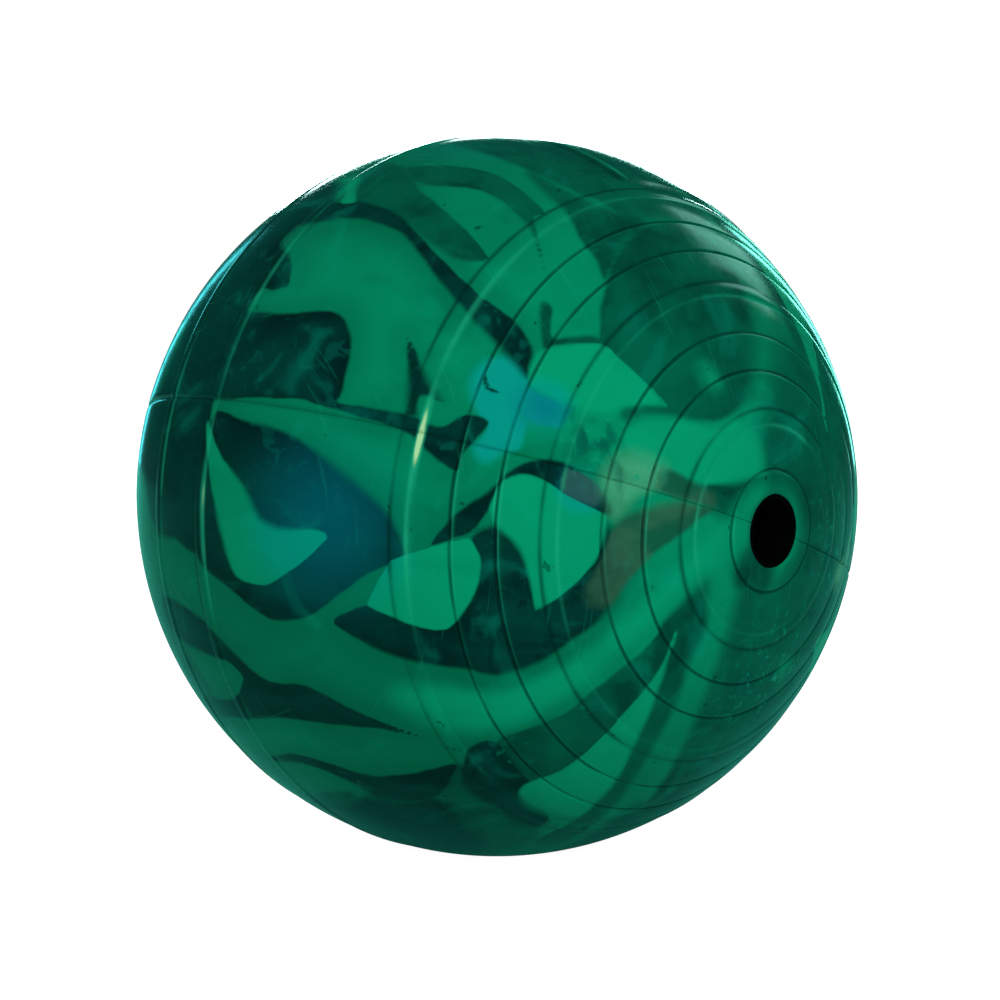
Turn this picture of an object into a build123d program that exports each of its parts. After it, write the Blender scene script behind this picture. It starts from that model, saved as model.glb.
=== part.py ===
"""Maze ball: a hollow translucent ball with a stack of maze decks and captive steel balls inside.

Millimetres. The origin is the centre of the ball, +X runs out of the entry hole and +Z is up.
Two shell halves meet on a plane that holds the X axis and close round a core of decks, which are clamped
together on a steel spine. Each deck stands square to X in a slot of the shell, and steel balls run in the
rings between the decks.
"""

from build123d import *
import math
import os

# ---------------------------------------------------------------- shell
BALL_RADIUS = 63.5
WALL = 2.6
INNER_RADIUS = BALL_RADIUS - WALL
SEAM_TILT = 18.4  # turn of the seam plane about X, in degrees: its -Y edge is lifted
SEAM_CHAMFER = 0.14
TONGUE_RADIUS = 62.2
TONGUE_WIDTH = 0.9
TONGUE_HEIGHT = 1.2
TONGUE_CLEARANCE = 0.05
TONGUE_STOPS = 14.0  # the tongue ends this far from the X axis, beside the entry hole

# Rings round the shell, as angles from the entry hole seen from the centre of the ball
BEAD_ANGLES = (16.0, 35.65, 55.55, 89.3, 102.0, 124.45, 144.35, 164.0)
BEAD_HALF_WIDTH = 1.15
BEAD_HEIGHT = 0.16
GROOVE_ANGLES = (8.7, 22.8, 28.6, 42.7, 48.7, 131.3, 137.3, 151.4, 157.2, 171.3)
GROOVE_HALF_WIDTH = 0.3
GROOVE_DEPTH = 0.28
BAND_CROWN = 0.1  # a narrow band between two rings bulges by this much
NARROW_BAND = 8.0

# ---------------------------------------------------------------- entry
BALL_BEARING_RADIUS = 4.0
BORE_RADIUS = 4.9
TUBE_NOSE_RADIUS = 5.7
TUBE_BODY_RADIUS = 7.2
TUBE_FLANGE_RADIUS = 9.2
TUBE_MOUTH_X = 63.0
TUBE_NOSE_X = 58.8
TUBE_FLANGE_X = (55.0, 56.6)
TUBE_END_X = 49.4
TUBE_CHAMFER = 0.35
COLLAR_RADIUS = 11.5
COLLAR_END_X = 53.2

# ---------------------------------------------------------------- core
DECK_THICKNESS = 2.0
HALF_DECK = DECK_THICKNESS / 2
DECK_X = (49.6, 34.5, 0.0, -13.2, -34.5, -49.6)  # decks held by the shell, from the entry end
GALLERY_X = 17.25
GALLERY_RADIUS = 44.0
DECK_GAP = 0.1  # clearance from a deck to the shell and its slot
SLOT_LIP_WIDTH = 1.2
SLOT_LIP_DEPTH = 1.2
EAR_REACH = 0.8
EAR_ROOT = 2.0  # an ear is let this far into its deck
EAR_HEIGHT = 3.0
DROP_HOLE_RADIUS = 4.9
LEAD_IN = 1.0
MAZE_WALL = 1.6
WALL_GAP = 0.4  # a maze wall stops this short of the next deck
WALL_ROOT = 0.5  # a maze wall is let this far into its own deck
DOOR_WIDTH = 10.4
SPINE_RADIUS = 2.5
SPINE_FIT = 0.06
SPINE_CHAMFER = 0.5
SPINE_TAIL_X = -58.4
SOCKET_REACH = 2.4
SPACER_RADIUS = 4.6
WASHER_RADIUS = 6.5
WASHER_THICKNESS = 1.0
NUT_ACROSS_FLATS = 8.0
NUT_THICKNESS = 4.0
NUT_BLANK_RADIUS = 4.48  # trims the six corners of the nut
NUT_CHAMFER = 0.6
CUP_BASE = 3.5
CUP_SKIN = 0.7  # plastic left between the cup's floor and the hole for the spine's head
CUP_DEPTH = 7.0
CUP_WALL = 1.2
CUP_DOOR = 110.0  # opening in the side of the cup, in degrees

# Maze layout. A ring is (inside radius, angles of its doorways), a baffle is (from radius, to radius, angle)
# and a hole is (radius of its centre, angle). Angles turn about +X from straight down.
RIB_HEIGHT = 1.6
RIB_COUNT = 6
RIB_FIRST = 30
RIB_END = 31.0
HUB_WALL = 2.2
SECOND_RINGS = ((16.0, (150, -40)), (28.5, (60, -120)))
SECOND_BAFFLES = ((17.0, 29.0, 95),)
SECOND_HOLES = ((38.5, -75),)
GALLERY_RIM_RING = GALLERY_RADIUS - 3 * MAZE_WALL
GALLERY_FRONT_RINGS = ((22.0, (20, 200)), (GALLERY_RIM_RING, (110, -70, -160)))
GALLERY_FRONT_BAFFLES = ((23.0, GALLERY_RIM_RING + WALL_ROOT, 60), (23.0, GALLERY_RIM_RING + WALL_ROOT, -110))
GALLERY_BACK_RINGS = ((28.0, (-30, 130)),)
GALLERY_HOLES = ((12.5, 100),)
MIDDLE_STOPS = ((46.5, INNER_RADIUS, 120), (46.5, INNER_RADIUS, -150))
MIDDLE_STOP_HEIGHT = 14.0
MIDDLE_KERBS = ((44.4, (0, 75, 180)),)
MIDDLE_KERB_HEIGHT = 6.0
MIDDLE_BACK_RINGS = ((20.0, (40, 170)),)
MIDDLE_BACK_BAFFLES = ((21.0, 34.0, -60),)
MIDDLE_HOLES = ((52.0, 96), (34.0, -100))
FOURTH_RINGS = ((35.0, (100, -20)),)
FOURTH_BAFFLES = ((36.0, 57.0, 60), (36.0, 57.0, -140))
FOURTH_HOLES = ((13.0, -150), (47.0, 20))
DRUM_RADIUS = 30.0
DRUM_RINGS = ((DRUM_RADIUS, ()),)
DRUM_BAFFLES = ((SPACER_RADIUS + WALL_ROOT, DRUM_RADIUS + WALL_ROOT, 180),)
DRUM_DROP = 4.0  # the drum is this much lower than the baffles beside it
FIFTH_FRONT_BAFFLES = ((31.0, 50.0, 45), (31.0, 50.0, -80))
FIFTH_BACK_BAFFLES = ((24.0, 50.0, 100), (24.0, 50.0, -170))
FIFTH_HOLES = ((23.0, 155), (39.5, 75))
END_FRONT_RINGS = ((20.0, (-90, 60)),)
END_BACK_RINGS = ((19.0, ()),)
END_BACK_HEIGHT = 3.0
END_HOLES = ((13.0, -20),)

# Where the steel balls rest. Each lies at the bottom of its run, this far clear of what is under it.
BALL_CLEARANCE = 0.05
FRONT_BALL_X = 5.6
DRUM_BALL_X = -25.0
REAR_BALL_X = -40.5

BIG = 200.0  # larger than the ball
PAST = 1.0  # a cut runs on this far past what it cuts


def ring_point(angle, radius=BALL_RADIUS):
    """Point of the shell's section at an angle from the entry hole."""
    turn = math.radians(angle)
    return (radius * math.cos(turn), radius * math.sin(turn))


def place(x, radius, angle):
    """Point at a radius from the X axis, turned by angle about +X from straight down."""
    turn = math.radians(angle)
    return (x, radius * math.sin(turn), -radius * math.cos(turn))


def disc(x_from, x_to, radius):
    """Solid cylinder on the X axis."""
    middle, length = (x_from + x_to) / 2, abs(x_to - x_from)
    return Pos(middle, 0, 0) * Rot(Y=90) * Cylinder(radius, length)


def tube(x_from, x_to, outer, inner):
    """Hollow cylinder on the X axis, from its lower x to its higher."""
    return disc(x_from, x_to, outer) - disc(x_from - PAST, x_to + PAST, inner)


def inside_ball(radius):
    """Solid ball whose poles lie on the X axis, clear of the rims of the decks."""
    return Rot(Y=90) * Sphere(radius)


def strip(x_from, x_to, y_from, y_to):
    """Rectangle of the shell's section."""
    centre = ((x_from + x_to) / 2, (y_from + y_to) / 2)
    return Pos(*centre) * Rectangle(abs(x_to - x_from), abs(y_to - y_from))


# ---------------------------------------------------------------- shell halves
def outer_outline():
    """Outer line of the section, from the entry side to the far pole, with its beads and grooves."""
    rings = [(a, BEAD_HALF_WIDTH, BEAD_HEIGHT) for a in BEAD_ANGLES]
    rings += [(a, GROOVE_HALF_WIDTH, -GROOVE_DEPTH) for a in GROOVE_ANGLES]
    edges = []
    reached = 0.0
    for angle, half, height in sorted(rings) + [(180.0, 0.0, 0.0)]:
        start, end = angle - half, angle + half
        crown = BAND_CROWN if start - reached < NARROW_BAND else 0.0
        middle = ring_point((reached + start) / 2, BALL_RADIUS + crown)
        edges.append(ThreePointArc(ring_point(reached), middle, ring_point(start)))
        top = ring_point(angle, BALL_RADIUS + height)
        if height > 0:
            edges.append(ThreePointArc(ring_point(start), top, ring_point(end)))
        elif height < 0:
            edges.append(Line(ring_point(start), top))
            edges.append(Line(top, ring_point(end)))
        reached = end
    return edges


def shell_section():
    """Section of the shell on the +Y side of the X axis."""
    edges = outer_outline()
    edges.append(Line((-BALL_RADIUS, 0), (BALL_RADIUS, 0)))
    section = make_face(edges) - Circle(INNER_RADIUS)
    lips = Circle(INNER_RADIUS + WALL / 2) - Circle(INNER_RADIUS - SLOT_LIP_DEPTH)
    for x in DECK_X:
        for side in (-1, 1):
            near = x + side * (HALF_DECK + DECK_GAP)
            section += lips & strip(near, near + side * SLOT_LIP_WIDTH, 0, BIG)
    section += strip(COLLAR_END_X, BALL_RADIUS - WALL / 2, 0, COLLAR_RADIUS)
    section -= strip(COLLAR_END_X - PAST, BIG, -PAST, TUBE_NOSE_RADIUS + DECK_GAP)
    section -= strip(COLLAR_END_X - PAST, TUBE_NOSE_X + DECK_GAP, -PAST, TUBE_BODY_RADIUS + DECK_GAP)
    section -= strip(TUBE_FLANGE_X[0] - DECK_GAP, TUBE_FLANGE_X[1] + DECK_GAP, -PAST,
                     TUBE_FLANGE_RADIUS + DECK_GAP)
    socket_end = SPINE_TAIL_X - DECK_GAP
    socket_mouth = socket_end + SOCKET_REACH
    section += strip(-BALL_RADIUS + WALL / 2, socket_mouth, 0, 2 * SPINE_RADIUS)
    section -= strip(socket_end, socket_mouth + PAST, -PAST, SPINE_RADIUS + DECK_GAP)
    return section


def tongue(clearance):
    """Locating ring that stands on the lower half's seam face, grown by clearance for its groove."""
    outer = TONGUE_RADIUS + TONGUE_WIDTH / 2 + clearance
    inner = TONGUE_RADIUS - TONGUE_WIDTH / 2 - clearance
    height = TONGUE_HEIGHT + clearance
    ring = Pos(0, 0, height / 2) * (Cylinder(outer, height) - Cylinder(inner, height))
    return ring - Pos(BALL_RADIUS, 0, 0) * Box(BALL_RADIUS, 2 * (TONGUE_STOPS - clearance), 4 * height)


def seam_bevel():
    """Ring that takes a fine V out of the outside edge of both halves."""
    deep, far = BALL_RADIUS - SEAM_CHAMFER, BALL_RADIUS + PAST
    rise = far - deep
    edge = Polyline((deep, 0, 0), (far, 0, rise), (far, 0, -rise), close=True)
    return revolve(make_face(edge), Axis.Z, 360)


def ears(clearance):
    """Two keys on each deck, just under the seam plane, or the pockets they sit in."""
    shapes = []
    for x in DECK_X:
        rim = math.sqrt(INNER_RADIUS**2 - x**2)
        width = DECK_THICKNESS + 2 * clearance
        length = EAR_REACH + EAR_ROOT + clearance
        height = EAR_HEIGHT + 2 * clearance
        for side in (-1, 1):
            middle = rim + EAR_REACH + clearance - length / 2
            shapes.append(Pos(x, side * middle, -EAR_HEIGHT / 2 - DECK_GAP) * Box(width, length, height))
    return shapes


def shell_halves():
    """Upper and lower half in the row frame, tilted with the seam."""
    upper = revolve(shell_section(), Axis.X, 180)
    lower = mirror(upper, about=Plane.XY)
    bevel = seam_bevel()
    upper = upper - bevel - tongue(TONGUE_CLEARANCE)
    lower = lower - bevel + tongue(0)
    for pocket in ears(DECK_GAP):
        lower -= pocket
    return Rot(X=-SEAM_TILT) * upper, Rot(X=-SEAM_TILT) * lower


# ---------------------------------------------------------------- entry
def entry_tube():
    """Dark liner of the entry hole, held by its flange in the shell's collar."""
    body = disc(TUBE_END_X, TUBE_NOSE_X, TUBE_BODY_RADIUS)
    body += disc(TUBE_NOSE_X, TUBE_MOUTH_X, TUBE_NOSE_RADIUS)
    body += disc(*TUBE_FLANGE_X, TUBE_FLANGE_RADIUS)
    body -= disc(TUBE_END_X - PAST, TUBE_MOUTH_X + PAST, BORE_RADIUS)
    return chamfer(body.faces().sort_by(Axis.X)[0].edges(), TUBE_CHAMFER)


# ---------------------------------------------------------------- decks
def deck(number):
    """Plain deck of the stack, cut to the inside of the shell, with its two ears and its hub hole."""
    x = DECK_X[number - 1]
    section = Circle(INNER_RADIUS - DECK_GAP) & strip(x - HALF_DECK, x + HALF_DECK, 0, BIG)
    plate = revolve(section, Axis.X, 360)
    for ear in ears(0)[2 * number - 2 : 2 * number]:
        plate += Rot(X=-SEAM_TILT) * ear
    return plate - disc(x - DECK_THICKNESS, x + DECK_THICKNESS, SPINE_RADIUS + SPINE_FIT)


def drilled(plate, x, holes):
    """The plate with the holes a steel ball falls through, each with a lead-in on both faces."""
    mouth = Cone(DROP_HOLE_RADIUS, DROP_HOLE_RADIUS + LEAD_IN, LEAD_IN)
    cut = Cylinder(DROP_HOLE_RADIUS, 2 * DECK_THICKNESS)
    cut += Pos(0, 0, HALF_DECK) * mouth
    cut += Pos(0, 0, -HALF_DECK) * Rot(X=180) * mouth
    for radius, angle in holes:
        plate -= Pos(*place(x, radius, angle)) * Rot(Y=90) * cut
    return plate


def ring_wall(radius, doors):
    """Plan of a round maze wall, with a doorway at each angle in doors."""
    plan = Circle(radius + MAZE_WALL) - Circle(radius)
    for angle in doors:
        plan -= Rot(Z=angle) * Pos(0, -radius) * Rectangle(DOOR_WIDTH, 8 * MAZE_WALL)
    return plan


def baffle(radius_from, radius_to, angle):
    """Plan of a straight maze wall along a radius."""
    middle = (radius_from + radius_to) / 2
    return Rot(Z=angle) * Pos(0, -middle) * Rectangle(MAZE_WALL, radius_to - radius_from)


def stand(face, end, rings=(), baffles=(), hub=None):
    """Maze walls stood on a deck's face and reaching to end, trimmed to the inside of the shell."""
    plans = [] if hub is None else [hub]
    plans += [ring_wall(*ring) for ring in rings]
    plans += [baffle(*wall) for wall in baffles]
    plan = plans[0]
    for other in plans[1:]:
        plan += other
    start = face - WALL_ROOT if end > face else face + WALL_ROOT
    walls = extrude(Plane.YZ.offset(min(start, end)) * plan, abs(end - start), dir=(1, 0, 0))
    return walls & inside_ball(INNER_RADIUS - SLOT_LIP_DEPTH - DECK_GAP)


def front_of(x):
    """Where a wall stops that reaches back towards the front face of the deck at x."""
    return x + HALF_DECK + WALL_GAP


def back_of(x):
    """Where a wall stops that reaches forward towards the back face of the deck at x."""
    return x - HALF_DECK - WALL_GAP


def start_deck():
    """Deck 1 steadies the end of the entry tube, and stiffening ribs run out from its hub."""
    x = DECK_X[0]
    back = x - HALF_DECK
    fit = TUBE_BODY_RADIUS + DECK_GAP
    hub = Circle(TUBE_BODY_RADIUS + HUB_WALL) - Circle(fit)
    ribs = []
    for rib in range(RIB_COUNT):
        ribs.append((TUBE_BODY_RADIUS + HUB_WALL - WALL_ROOT, RIB_END, RIB_FIRST + rib * 360 / RIB_COUNT))
    plate = deck(1) + stand(back, back - RIB_HEIGHT, baffles=ribs, hub=hub)
    return plate - disc(back - RIB_HEIGHT - PAST, x + HALF_DECK + PAST, fit)


def second_deck():
    """Deck 2 has a double ring on its entry side round the start cup."""
    x = DECK_X[1]
    plate = deck(2) + stand(x + HALF_DECK, back_of(DECK_X[0]) - RIB_HEIGHT, SECOND_RINGS, SECOND_BAFFLES)
    return drilled(plate, x, SECOND_HOLES)


def gallery_disc():
    """Disc carried by the spine alone, so a steel ball passes round its free rim."""
    front, back = GALLERY_X + HALF_DECK, GALLERY_X - HALF_DECK
    plate = disc(back, front, GALLERY_RADIUS)
    plate += stand(front, back_of(DECK_X[1]), GALLERY_FRONT_RINGS, GALLERY_FRONT_BAFFLES)
    plate += stand(back, front_of(DECK_X[2]), GALLERY_BACK_RINGS)
    plate -= disc(back - PAST, front + PAST, SPINE_RADIUS + SPINE_FIT)
    return drilled(plate, GALLERY_X, GALLERY_HOLES)


def middle_deck():
    """Deck 3 stands on the equator, and two baffles stop the ball that runs round its front."""
    x = DECK_X[2]
    front, back = x + HALF_DECK, x - HALF_DECK
    plate = deck(3) + stand(front, front + MIDDLE_STOP_HEIGHT, baffles=MIDDLE_STOPS)
    plate += stand(front, front + MIDDLE_KERB_HEIGHT, MIDDLE_KERBS)
    plate += stand(back, front_of(DECK_X[3]), MIDDLE_BACK_RINGS, MIDDLE_BACK_BAFFLES)
    return drilled(plate, x, MIDDLE_HOLES)


def fourth_deck():
    """Deck 4 closes the flat passage behind the equator."""
    x = DECK_X[3]
    plate = deck(4) + stand(x + HALF_DECK, back_of(DECK_X[2]), FOURTH_RINGS, FOURTH_BAFFLES)
    return drilled(plate, x, FOURTH_HOLES)


def fifth_deck():
    """Deck 5 holds a drum on its front, and baffles on its back that stop the last ring's ball."""
    x = DECK_X[4]
    front, back = x + HALF_DECK, x - HALF_DECK
    limit = back_of(DECK_X[3])
    plate = deck(5) + stand(front, limit - DRUM_DROP, DRUM_RINGS, DRUM_BAFFLES)
    plate += stand(front, limit, baffles=FIFTH_FRONT_BAFFLES)
    plate += stand(back, front_of(DECK_X[5]), baffles=FIFTH_BACK_BAFFLES)
    return drilled(plate, x, FIFTH_HOLES)


def end_deck():
    """Deck 6 leads to the home pocket at the far pole."""
    x = DECK_X[5]
    front, back = x + HALF_DECK, x - HALF_DECK
    plate = deck(6) + stand(front, back_of(DECK_X[4]), END_FRONT_RINGS)
    plate += stand(back, back - END_BACK_HEIGHT, END_BACK_RINGS)
    return drilled(plate, x, END_HOLES)


# ---------------------------------------------------------------- spine
def spine_rod():
    """Steel rod on the X axis that the start cup and the nut clamp the stack on."""
    head = DECK_X[1] + HALF_DECK + CUP_BASE - CUP_SKIN - DECK_GAP
    rod = disc(SPINE_TAIL_X, head, SPINE_RADIUS)
    ends = rod.faces().sort_by(Axis.X)
    return chamfer(ends[0].edges() + ends[-1].edges(), SPINE_CHAMFER)


def start_cup():
    """Cup screwed on the head of the spine, which catches a ball let in by the entry tube."""
    base = DECK_X[1] + HALF_DECK
    floor = base + CUP_BASE
    lip = floor + CUP_DEPTH
    cup = disc(base, lip, BORE_RADIUS + CUP_WALL) - disc(floor, lip + PAST, BORE_RADIUS)
    cup -= disc(base - PAST, floor - CUP_SKIN, SPINE_RADIUS + SPINE_FIT)
    half = math.radians(CUP_DOOR / 2)
    side, height = 3 * BORE_RADIUS * math.sin(half), 3 * BORE_RADIUS * math.cos(half)
    wedge = make_face(Polyline((0, 0, 0), (0, side, height), (0, -side, height), close=True))
    return cup - extrude(Pos(floor, 0, 0) * wedge, CUP_DEPTH + PAST, dir=(1, 0, 0))


def spacers():
    """The five plastic tubes that keep the decks apart on the spine, from the entry end."""
    stops = [DECK_X[1], GALLERY_X, DECK_X[2], DECK_X[3], DECK_X[4], DECK_X[5]]
    made = []
    for near, far in zip(stops, stops[1:]):
        made.append(tube(far + HALF_DECK, near - HALF_DECK, SPACER_RADIUS, SPINE_RADIUS + SPINE_FIT))
    return made


def washer():
    """Washer under the spine nut."""
    face = DECK_X[5] - HALF_DECK
    return tube(face - WASHER_THICKNESS, face, WASHER_RADIUS, SPINE_RADIUS + SPINE_FIT)


def nut():
    """Hexagon nut that clamps the stack."""
    face = DECK_X[5] - HALF_DECK - WASHER_THICKNESS
    end = face - NUT_THICKNESS
    outline = RegularPolygon(NUT_ACROSS_FLATS / 2, 6, major_radius=False)
    body = extrude(Pos(end, 0, 0) * Rot(Y=90) * outline, NUT_THICKNESS)
    blank = disc(end, face, NUT_BLANK_RADIUS)
    blank = chamfer(blank.faces().sort_by(Axis.X)[0].edges(), NUT_CHAMFER)
    return (body & blank) - disc(end - PAST, face + PAST, SPINE_RADIUS + SPINE_FIT)


# ---------------------------------------------------------------- steel balls
def ball_places():
    """The x and the drop below the X axis of each steel ball at rest, from the entry end."""
    reach = BALL_BEARING_RADIUS + BALL_CLEARANCE
    cup_x = DECK_X[1] + HALF_DECK + CUP_BASE + reach
    places = [(cup_x, BORE_RADIUS - reach)]
    places.append((FRONT_BALL_X, math.sqrt((INNER_RADIUS - reach) ** 2 - FRONT_BALL_X**2)))
    places.append((DRUM_BALL_X, DRUM_RADIUS - reach))
    places.append((REAR_BALL_X, math.sqrt((INNER_RADIUS - reach) ** 2 - REAR_BALL_X**2)))
    return places


def steel_ball(x, drop):
    """Steel ball at rest at the lowest point of its run."""
    return Pos(x, 0, -drop) * Sphere(BALL_BEARING_RADIUS)


# ---------------------------------------------------------------- write the nodes
def nodes():
    """Every node by name."""
    upper, lower = shell_halves()
    made = {
        "upper_shell": upper,
        "lower_shell": lower,
        "entry_tube": entry_tube(),
        "start_deck": start_deck(),
        "second_deck": second_deck(),
        "gallery_disc": gallery_disc(),
        "middle_deck": middle_deck(),
        "fourth_deck": fourth_deck(),
        "fifth_deck": fifth_deck(),
        "end_deck": end_deck(),
        "start_cup": start_cup(),
        "spine_rod": spine_rod(),
        "spine_washer": washer(),
        "spine_nut": nut(),
    }
    for number, part in enumerate(spacers(), 1):
        made[f"spacer_{number}"] = part
    for number, (x, drop) in enumerate(ball_places(), 1):
        made[f"steel_ball_{number}"] = steel_ball(x, drop)
    return made


os.makedirs("parts", exist_ok=True)
for name, part in nodes().items():
    export_step(part, f"parts/{name}.step")
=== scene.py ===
"""Looks of the maze ball: swirled green shell, dark entry liner, and the decks and steel balls inside."""
import bpy
import math
import numpy as np
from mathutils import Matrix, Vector


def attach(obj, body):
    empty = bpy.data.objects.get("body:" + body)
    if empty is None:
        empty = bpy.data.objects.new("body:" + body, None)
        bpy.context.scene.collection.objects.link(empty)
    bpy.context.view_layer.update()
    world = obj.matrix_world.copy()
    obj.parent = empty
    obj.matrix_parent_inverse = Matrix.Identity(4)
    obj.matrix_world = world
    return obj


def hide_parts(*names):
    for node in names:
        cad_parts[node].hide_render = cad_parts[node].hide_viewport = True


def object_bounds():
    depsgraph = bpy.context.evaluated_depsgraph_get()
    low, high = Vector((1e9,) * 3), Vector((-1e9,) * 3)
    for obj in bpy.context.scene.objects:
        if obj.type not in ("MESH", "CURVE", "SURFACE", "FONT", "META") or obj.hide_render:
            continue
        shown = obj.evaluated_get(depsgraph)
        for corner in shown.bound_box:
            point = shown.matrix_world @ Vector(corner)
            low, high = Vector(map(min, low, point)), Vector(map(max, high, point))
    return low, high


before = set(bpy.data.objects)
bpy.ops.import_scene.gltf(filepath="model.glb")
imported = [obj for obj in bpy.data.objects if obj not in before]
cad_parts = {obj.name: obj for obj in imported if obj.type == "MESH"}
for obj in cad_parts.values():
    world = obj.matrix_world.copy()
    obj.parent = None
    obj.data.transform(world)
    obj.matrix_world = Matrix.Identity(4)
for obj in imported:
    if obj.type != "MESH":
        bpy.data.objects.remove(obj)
CAD_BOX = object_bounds()

# ---------------------------------------------------------------- shell, in millimetres and degrees
MM = 0.001
BALL_RADIUS = 63.5
INNER_RADIUS = 60.9
SEAM_TILT = 18.4
HOLE_RADIUS = 5.8
SEAM_CHAMFER = 0.14
BEADS = (16.0, 35.65, 55.55, 89.3, 102.0, 124.45, 144.35, 164.0)
BEAD_HALF_WIDTH = 1.15
BEAD_HEIGHT = 0.16
GROOVES = (8.7, 22.8, 28.6, 42.7, 48.7, 131.3, 137.3, 151.4, 157.2, 171.3)
GROOVE_HALF_WIDTH = 0.3
GROOVE_DEPTH = 0.28
BAND_CROWN = 0.1
NARROW_BAND = 8.0

# A low raised panel on the upper half. Each edge rises over the RISE beside it.
PANEL_HEIGHT = 0.3
PANEL_FROM, PANEL_TO = 58.5, 80.0
PANEL_FROM_RISE, PANEL_TO_RISE = 0.6, 6
PANEL_EDGE = -69.0
PANEL_EDGE_RISE = 0.9
PANEL_FADE_TURNS = (100, 112)

# Mesh: plain rows, with more across each ring, up to a pinhole at the far pole
ROW_STEP = 0.8
PLAIN_ROWS_END = 179.8
LAST_ROW = 179.9
ROW_GAP = 0.04  # a row nearer than this to the one before is dropped
BEAD_ROWS = 4  # rows in half the width of a bead
GROOVE_ROWS = 3
COLUMNS = 240

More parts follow.
